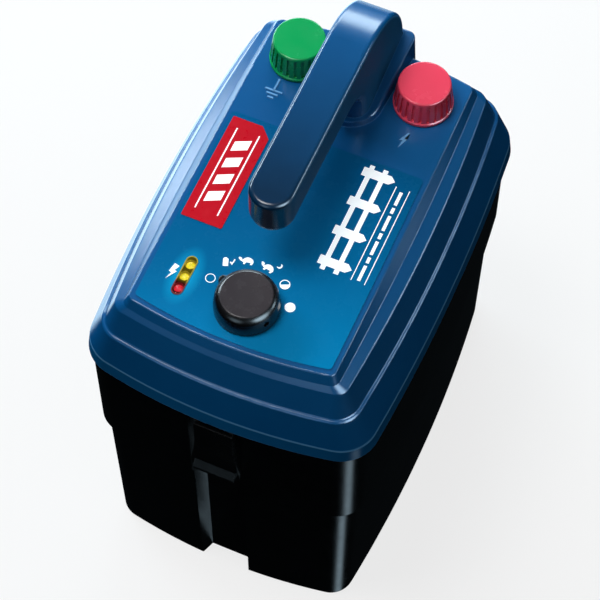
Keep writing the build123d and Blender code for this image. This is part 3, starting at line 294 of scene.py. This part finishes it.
def selector_plastic():
    """Near-black moulding, coloured lighter grey on its top face."""
    look = Look("selector_plastic", rough=0.26)
    top = look.span(look.axis("Z"), KNOB_TOP - 0.0003, KNOB_TOP - 0.0001)
    across = look.span(look.noise(40.0, 3.0), 0.3, 0.7)
    face = look.mix(across, linear(50, 45, 48), linear(58, 53, 56))
    shade = look.mix(top, linear(15, 13, 15), face)
    shade = look.mix(look.maths("MULTIPLY", look.edges(0.0006), 0.25), shade, linear(96, 92, 98))
    look.colour(shade)
    look.roughness(0.23, 0.30, 200.0)
    look.bump(look.noise(1500.0, 2.0), 0.00002, 0.5)
    return look.done()


def lamplit_bezel():
    """The well round the lamps, coloured by their light: red at the front, yellow behind."""
    look = Look("lamplit_bezel", rough=0.45)
    along = look.span(look.axis("Y"), WINDOW[1] - 0.0042, WINDOW[1] - 0.0026)
    well = look.mix(look.noise(700.0, 2.0), linear(134, 118, 16), linear(158, 142, 26))
    look.colour(look.mix(along, linear(104, 10, 16), well))
    # painted light: the bezel glows faintly in the lamps' colours, though it is no lamp
    look.feed(look.shader.inputs["Emission Color"], look.mix(along, linear(104, 10, 16), well))
    look.shader.inputs["Emission Strength"].default_value = 0.25
    look.bump(look.noise(1500.0, 2.0), 0.00002, 0.5)
    return look.done()


def wire(name, base):
    look = Look(name, rough=0.42)
    look.colour(look.mix(look.noise(220.0, 3.0), base, dimmed(base, 0.72)))
    look.roughness(0.34, 0.52, 200.0)
    look.bump(look.noise(1500.0, 2.0), 0.00003, 0.5)
    return look.done()


def board_laminate():
    """Solder mask over copper tracks."""
    look = Look("board_laminate", rough=0.3)
    tracks = look.node("ShaderNodeTexVoronoi", feature="DISTANCE_TO_EDGE", distance="MANHATTAN")
    look.feed(tracks.inputs["Vector"], look.place)
    tracks.inputs["Scale"].default_value = 120.0
    line = look.span(tracks.outputs["Distance"], 0.06, 0.09, 1.0, 0.0)
    look.colour(look.mix(line, linear(18, 92, 52), linear(44, 138, 76)))
    look.bump(line, 0.00004, 0.7)
    look.roughness(0.22, 0.4, 150.0)
    return look.done()


def laminated_core():
    look = Look("laminated_core", rough=0.5, metal=0.7)
    stack = look.maths("PINGPONG", look.axis("Z"), 0.0005)
    look.colour(look.mix(look.span(stack, 0.0, 0.0005), linear(52, 54, 58), linear(96, 98, 102)))
    look.bump(look.span(stack, 0.0, 0.0005), 0.0002, 0.7)
    look.roughness(0.42, 0.62, 200.0)
    return look.done()


def wound_tape(name, base):
    look = Look(name, rough=0.34)
    turns = look.maths("PINGPONG", look.axis("Y"), 0.0021)
    look.colour(look.mix(look.span(turns, 0.0, 0.0021), dimmed(base, 0.62), base))
    look.bump(look.span(turns, 0.0, 0.0004), 0.0001, 0.7)
    look.roughness(0.26, 0.44, 160.0)
    return look.done()


def foam():
    look = Look("foam_rubber", rough=0.9)
    cells = look.node("ShaderNodeTexVoronoi")
    look.feed(cells.inputs["Vector"], look.place)
    cells.inputs["Scale"].default_value = 1400.0
    look.colour(look.mix(cells.outputs["Distance"], linear(20, 20, 21), linear(58, 58, 60)))
    look.bump(cells.outputs["Distance"], 0.0002, 0.9)
    look.roughness(0.82, 0.98, 200.0)
    return look.done()


def clear_lens():
    look = Look("clear_lens", rough=0.06)
    look.shader.inputs["Transmission Weight"].default_value = 1.0
    look.shader.inputs["IOR"].default_value = 1.45
    look.colour(look.mix(look.noise(200.0, 3.0), linear(236, 240, 242), linear(222, 232, 238)))
    look.bump(look.noise(700.0, 2.0), 0.00001, 0.4)
    return look.done()


brass = linear(206, 170, 96)
steel = linear(196, 196, 190)
looks = {
    "lid": lid_plastic("lid_blue_plastic", 0.5),
    "handle": lid_plastic("handle_blue_plastic", 0.8, handled=True),
    "base": moulding("base_black_plastic", linear(5, 5, 6), 0.22, linear(44, 47, 48), vary=0.2,
                     edge=0.0008, edge_share=0.3, specular=0.3),
    "latch": moulding("latch_black_plastic", linear(8, 8, 9), 0.24, linear(80, 84, 86), vary=0.2,
                      edge_share=0.35, specular=0.4),
    "selector": selector_plastic(),
    "green": moulding("green_knob_plastic", linear(0, 148, 78), 0.24, linear(80, 204, 136),
                      vary=0.03, edge_share=0.3),
    "red": moulding("red_knob_plastic", linear(236, 70, 94), 0.24, linear(250, 140, 150),
                    vary=0.03, edge_share=0.35),
    "inner": moulding("inner_black_plastic", linear(30, 30, 31), 0.5, linear(80, 80, 80)),
    "bezel": lamplit_bezel(),
    "label": label_film(),
    "badge": ink_and_painted_light("badge_ink", linear(186, 14, 33)),
    # the white ink glows a little: painted light that keeps it white in shade
    "white": ink_and_painted_light("white_ink_with_painted_glow", linear(250, 252, 254), 0.2),
    # pale blue film for the painted highlight on the raised symbols' tops
    "pale": ink_and_painted_light("pale_blue_painted_highlight", linear(104, 158, 208)),
    "foam": foam(),
    "steel": metal("zinc_steel", steel, 0.34, (1.0, 1.0, 0.08), linear(150, 148, 138)),
    "brass": metal("turned_brass", brass, 0.28, (0.1, 0.1, 1.0), linear(140, 104, 52)),
    "stud": threaded("threaded_brass", brass, 0.00125),
    "tin": metal("tinned_copper", linear(206, 206, 204), 0.3, (1.0, 0.1, 1.0)),
    "alu": metal("extruded_aluminium", linear(200, 202, 206), 0.36, (1.0, 1.0, 0.05)),
    "board": board_laminate(),
    "core": laminated_core(),
    "tape": wound_tape("amber_tape", linear(212, 160, 62)),
    "film": moulding("film_capacitor_wrap", linear(214, 178, 52), 0.34, linear(240, 220, 150)),
    "sleeve": moulding("capacitor_sleeve", linear(26, 30, 62), 0.3, linear(90, 96, 130)),
    "chip": moulding("moulded_package", linear(26, 26, 26), 0.6, linear(70, 70, 70)),
    "resistor": moulding("resistor_coat", linear(196, 168, 120), 0.5, linear(230, 214, 180)),
    "yellow_lamp": lamp("lamp_yellow_lit", linear(226, 186, 14), linear(246, 226, 60), 0.8),
    "red_lamp": lamp("lamp_red_lit", linear(196, 14, 26), linear(238, 48, 62), 0.8),
    "lens": clear_lens(),
    "wire_red": wire("red_wire", linear(186, 24, 28)),
    "wire_black": wire("black_wire", linear(28, 28, 28)),
    "wire_green": wire("green_wire", linear(20, 120, 58)),
    "battery": moulding("battery_case_plastic", linear(28, 92, 66), 0.42, linear(90, 150, 120)),
    "battery_top": moulding("battery_cover_plastic", linear(32, 32, 33), 0.46, linear(84, 84, 84)),
}
finishes = {
    "lid": ["lid_shell"],
    "handle": ["carry_handle"],
    "base": ["base_shell"],
    "latch": ["latch_lever"],
    "selector": ["selector_knob"],
    "green": ["earth_knob"],
    "red": ["fence_knob"],
    "inner": ["inner_cover", "battery_contact_block", "lid_contact_block", "selector_switch"],
    "bezel": ["led_bezel"],
    "label": ["label_panel"],
    "badge": ["badge_plate"],
    "foam": ["battery_pad", "lid_gasket"],
    "steel": ["hinge_pins", "cover_screws", "board_screws", "handle_screws", "switch_nut",
              "knob_grub_screw", "latch_pin"],
    "brass": ["battery_posts", "battery_contact_plates", "lid_contact_pins", "stud_nuts",
              "earth_clamp_washer", "fence_clamp_washer"],
    "stud": ["terminal_studs", "earth_knob_insert", "fence_knob_insert"],
    "tin": ["ring_tags", "selector_shaft"],
    "alu": ["heatsink"],
    "board": ["circuit_board"],
    "core": ["pulse_transformer_core", "inverter_transformer_core"],
    "tape": ["pulse_transformer_winding", "inverter_transformer_winding"],
    "film": ["storage_capacitor"],
    "sleeve": ["electrolytic_capacitors"],
    "chip": ["thyristor", "control_chip"],
    "resistor": ["resistors"],
    "yellow_lamp": ["led_yellow"],
    "red_lamp": ["led_red"],
    "lens": ["led_window"],
    "wire_red": ["battery_lead_positive", "supply_lead_positive", "fence_lead"],
    "wire_black": ["battery_lead_negative", "supply_lead_negative"],
    "wire_green": ["earth_lead"],
    "battery": ["battery_case"],
    "battery_top": ["battery_cover"],
}
for look_name, node_names in finishes.items():
    for node_name in node_names:
        for material_slot in nodes[node_name].material_slots:
            material_slot.material = looks[look_name]


# ------------------------------------------------------------------ printed marks and painted highlights
MARK_FILM = 0.00008  # thickness of the ink, and of the pale film that paints highlights
LIFT = 0.00001  # gap that keeps a mark's face off the face it is printed on
RAISED = 0.0004  # height of the symbols moulded on the lid's deck


def ink_and_highlight_mark(name, outlines, top, look, holes=()):
    """A thin layer of ink, or of pale film for a painted highlight: each outline is a list of (x, y)
    in millimetres, in the row frame.
    """
    mesh = bpy.data.meshes.new(name)
    work = bmesh.new()
    for outline in outlines:
        corners = [work.verts.new((x / 1000, y / 1000, top)) for x, y in outline]
        work.faces.new(corners)
    for outer, inner in holes:
        outside = [work.verts.new((x / 1000, y / 1000, top)) for x, y in outer]
        inside = [work.verts.new((x / 1000, y / 1000, top)) for x, y in inner]
        count = len(outer)
        for i in range(count):
            j = (i + 1) % count
            work.faces.new((outside[i], outside[j], inside[j], inside[i]))
    bmesh.ops.triangulate(work, faces=work.faces[:])
    bmesh.ops.recalc_face_normals(work, faces=work.faces[:])
    for face in work.faces:
        if face.normal.z < 0:
            face.normal_flip()
    work.to_mesh(mesh)
    work.free()
    mark = bpy.data.objects.new(name, mesh)
    scene.collection.objects.link(mark)
    thick = mark.modifiers.new("ink", "SOLIDIFY")
    thick.thickness = MARK_FILM
    thick.offset = 1.0
    mesh.materials.append(looks[look])
    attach(mark, "lid")
    return mark


def ring(x, y, radius, count=40, start=0.0, sweep=360.0):
    step = math.radians(sweep) / (count if sweep >= 360.0 else count - 1)
    begin = math.radians(start)
    return [(x + radius * math.cos(begin + i * step), y + radius * math.sin(begin + i * step))
            for i in range(count)]


def turned(points, x, y, angle, size=1.0):
    cos, sin = math.cos(math.radians(angle)), math.sin(math.radians(angle))
    return [(x + size * (px * cos - py * sin), y + size * (px * sin + py * cos)) for px, py in points]


label_top = LABEL_TOP + LIFT
# off and full-power symbols and the half-power one, on an arc round the selector
ink_and_highlight_mark("mark_off", [], label_top, "white",
           [(ring(-21.3, -63.7, 2.5), ring(-21.3, -63.7, 2.12))])
ink_and_highlight_mark("mark_full", [ring(19.8, -63.2, 2.6)], label_top, "white")
ink_and_highlight_mark("mark_half", [ring(12.6, -52.8, 2.15, 24, -156.0, 180.0)], label_top, "white",
           [(ring(12.6, -52.8, 2.6), ring(12.6, -52.8, 2.15))])
# battery test
battery_body = [(-1.3, -2.3), (1.3, -2.3), (1.3, 1.8), (0.6, 1.8), (0.6, 2.4), (-0.6, 2.4),
                (-0.6, 1.8), (-1.3, 1.8)]
tick = [(2.0, -0.2), (2.5, 0.3), (3.0, -0.5), (4.2, 1.7), (4.7, 1.3), (3.1, -1.6)]
ink_and_highlight_mark("mark_battery", [turned(battery_body, -18.4, -52.6, 20.0),
                            turned(tick, -18.4, -52.6, 20.0)], label_top, "white")
# slow pulse and slow night pulse: a low hump on legs, with a crescent beside the second
hump = [(-2.2, -1.0)] + ring(0.2, -1.0, 2.4, 18, 0.0, 180.0)[::-1] + [(2.6, -1.0)]
head = [(2.4, -0.4), (3.0, 0.9), (3.9, 1.2), (4.4, 0.7), (4.0, 0.1), (3.1, -0.7)]
foot = [(-0.5, -0.9), (0.5, -0.9), (0.1, -2.0), (-0.7, -2.0)]
for mark_name, mark_x, mark_y, tilt in (("mark_slow", -8.6, -47.6, 14.0),
                                        ("mark_slow_night", 2.2, -47.4, -10.0)):
    flip = [(-px, py) for px, py in hump]
    shapes = [turned(flip, mark_x, mark_y, tilt, 1.15),
              turned([(-px, py) for px, py in head], mark_x, mark_y, tilt, 1.15)]
    for shift in (-1.4, 1.6):
        shapes.append(turned([(px + shift, py) for px, py in foot], mark_x, mark_y, tilt, 1.15))
    ink_and_highlight_mark(mark_name, shapes, label_top, "white")
moon = ring(6.2, -44.5, 1.45, 16, -130.0, 190.0)
moon_inner = ring(5.7, -44.2, 1.1, 16, -125.0, 180.0)
ink_and_highlight_mark("mark_moon", [moon + moon_inner[::-1]], label_top, "white")
# pulse symbol beside the lamps
pulse = [(-1.0, 5.0), (1.9, 4.4), (0.4, 1.2), (1.9, 1.0), (-1.9, -5.0), (-0.5, -0.6), (-2.1, -0.3)]
ink_and_highlight_mark("mark_pulse", [turned(pulse, -39.2, -67.6, 0.0, 0.92)], label_top, "white")

# fence pictogram in place of the product's lettering, and two thin rules beside it
posts = []
for post_y in (-33.0, -15.0, 3.0, 21.0):
    posts.append([(21.6, post_y - 2.5), (36.0, post_y - 2.5), (38.6, post_y), (36.0, post_y + 2.5),
                  (21.6, post_y + 2.5)])
strands = []
for strand_x in (25.2, 32.2):
    for low_y, high_y in ((-38.0, -35.5), (-30.5, -17.5), (-12.5, 0.5), (5.5, 18.5), (23.5, 25.6)):
        strands.append([(strand_x - 1.25, low_y), (strand_x + 1.25, low_y),
                        (strand_x + 1.25, high_y), (strand_x - 1.25, high_y)])
ink_and_highlight_mark("mark_fence", posts + strands, label_top, "white")
rules = []
for rule_x in (40.2, 47.2):
    rules.append([(rule_x - 0.22, -38.0), (rule_x + 0.22, -38.0), (rule_x + 0.22, 19.0),
                  (rule_x - 0.22, 19.0)])
ink_and_highlight_mark("mark_rules", rules, label_top, "white")
dashes = []
dash_y = -37.0
for dash_length in (9.0, 3.4, 8.0, 3.4, 9.0, 3.4, 8.0):
    dashes.append([(42.9, dash_y), (44.5, dash_y), (44.5, dash_y + dash_length),
                   (42.9, dash_y + dash_length)])
    dash_y += dash_length + 1.6
ink_and_highlight_mark("mark_dashes", dashes, label_top, "white")

# painted highlight on the tops of the raised earth and pulse symbols, laid as a pale blue film
raised_top = DECK + RAISED + LIFT
earth_x = -37.4
earth_bars = [(0.45, 3.7, 50.6), (4.5, 0.45, 47.0), (3.0, 0.45, 44.8), (1.5, 0.45, 42.6)]
ink_and_highlight_mark("mark_earth_painted_highlight", [[(earth_x - w, y - h), (earth_x + w, y - h), (earth_x + w, y + h),
                               (earth_x - w, y + h)] for w, h, y in earth_bars],
           raised_top, "pale")
ink_and_highlight_mark("mark_bolt_painted_highlight", [[(33.6, 50.3), (31.0, 44.7), (32.6, 44.9), (32.1, 40.3),
                              (34.6, 46.3), (33.0, 46.1), (34.7, 50.3)]], raised_top, "pale")

# plain bands on the red plate
badge_top = BADGE_TOP + LIFT
bands = []
for band_x, band_w in ((-44.6, 0.35), (-32.6, 0.35)):
    bands.append([(band_x - band_w, -31.0), (band_x + band_w, -31.0), (band_x + band_w, 19.0),
                  (band_x - band_w, 19.0)])
for band_y in (-26.0, -15.5, -5.0, 5.5):
    bands.append([(-42.4, band_y), (-34.8, band_y + 3.6), (-34.8, band_y + 9.4),
                  (-42.4, band_y + 5.8)])
ink_and_highlight_mark("mark_badge", bands, badge_top, "white")

# ------------------------------------------------------------------ room, light and camera
floor_mesh = bpy.data.meshes.new("floor")
work = bmesh.new()
bmesh.ops.create_grid(work, x_segments=8, y_segments=8, size=40.0)
work.to_mesh(floor_mesh)
work.free()
floor = bpy.data.objects.new("floor", floor_mesh)
scene.collection.objects.link(floor)
floor_look = Look("floor_paper", rough=0.9, specular=0.0)
floor_look.colour(floor_look.mix(floor_look.noise(3.0, 3.0), linear(104, 104, 104),
                                 linear(108, 108, 108)))
floor_look.shader.inputs["Emission Color"].default_value = (1.0, 1.0, 1.0, 1.0)
floor_look.shader.inputs["Emission Strength"].default_value = 0.78
floor_mesh.materials.append(floor_look.done())
floor.visible_diffuse = False
floor.visible_glossy = False

# the studio round the object, seen in reflections alone: dark, with pale cards
CARDS = [  # middle, cosine where it starts, cosine where it is full, brightness
    ((-0.60, 0.62, -0.50), 0.88, 0.97, 4.0),
    ((-0.25, 0.93, 0.27), 0.86, 0.98, 1.2),
    ((0.85, 0.45, 0.28), 0.982, 0.995, 12.0),
    ((-0.16, -0.93, 0.33), 0.93, 0.99, 2.6),
    ((0.84, -0.33, 0.43), 0.89, 0.975, 14.0),
]
STRIP_WAY = (0.875, -0.485)  # horizontal direction of the narrow upright card
world = bpy.data.worlds.new("studio")
scene.world = world
world.use_nodes = True
sky = Look.__new__(Look)
sky.tree = world.node_tree
sky.place = sky.tree.nodes.new("ShaderNodeTexCoord").outputs["Generated"]


def towards(x, y, z):
    dot = sky.node("ShaderNodeVectorMath", operation="DOT_PRODUCT")
    sky.feed(dot.inputs[0], sky.place)
    dot.inputs[1].default_value = (x, y, z)
    return dot.outputs["Value"]


glow = sky.span(sky.axis("Z"), -0.1, 1.0, 0.006, 0.12)
for middle, start, full, bright in CARDS:
    length = math.sqrt(sum(v * v for v in middle))
    facing = towards(*(v / length for v in middle))
    glow = sky.maths("ADD", glow, sky.span(facing, start, full, 0.0, bright))
aside = sky.maths("ABSOLUTE", towards(-STRIP_WAY[1], STRIP_WAY[0], 0.0))
strip = sky.maths("MULTIPLY", sky.span(aside, 0.04, 0.15, 1.0, 0.0),
                  sky.span(towards(STRIP_WAY[0], STRIP_WAY[1], 0.0), 0.15, 0.4))
strip = sky.maths("MULTIPLY", strip, sky.span(sky.axis("Z"), 0.2, 0.45, 1.0, 0.0))
strip = sky.maths("MULTIPLY", strip, sky.span(sky.axis("Z"), -0.8, -0.6, 2.0, 0.0))
glow = sky.maths("ADD", glow, strip)
backdrop = world.node_tree.nodes["Background"]
backdrop.inputs["Color"].default_value = (0.62, 0.85, 1.0, 1.0)
sky.feed(backdrop.inputs["Strength"], glow)
world.cycles_visibility.diffuse = False


def softbox(name, place, aim, width, height, power, tint=(1.0, 1.0, 1.0)):
    data = bpy.data.lights.new(name, "AREA")
    data.shape = "RECTANGLE"
    data.size = width
    data.size_y = height
    data.energy = power
    data.color = tint
    lamp_object = bpy.data.objects.new(name, data)
    scene.collection.objects.link(lamp_object)
    lamp_object.location = place
    direction = Vector(aim) - Vector(place)
    lamp_object.rotation_euler = direction.to_track_quat("-Z", "Y").to_euler()
    return lamp_object


centre = (0.0, 0.0, 0.18)
softbox("key", (-0.40, -0.20, 1.75), centre, 0.6, 0.6, 16.5)
softbox("back", (-0.22, 0.66, 0.50), (0.0, 0.05, 0.24), 0.42, 0.28, 3.8, (0.76, 0.92, 1.0))
softbox("side", (-1.21, 0.67, 0.80), centre, 0.9, 0.2, 18.0, (0.74, 0.91, 1.0))
fill = softbox("fill", (1.0, -0.4, 2.4), centre, 3.0, 3.0, 18.0)
fill.visible_glossy = False

camera_data = bpy.data.cameras.new("camera")
camera_data.sensor_width = 36.0
camera_data.lens = 138.0
camera_data.clip_start = 0.05
camera_data.clip_end = 30.0
camera = bpy.data.objects.new("camera", camera_data)
scene.collection.objects.link(camera)
target = Vector((0.0224, -0.0574, DECK))
azimuth, elevation, distance = math.radians(23.57), math.radians(60.65), 1.087
toward = Vector((math.sin(azimuth) * math.cos(elevation), -math.cos(azimuth) * math.cos(elevation),
                 math.sin(elevation)))
camera.location = target + toward * distance
camera.rotation_euler = (-toward).to_track_quat("-Z", "Y").to_euler()
scene.camera = camera
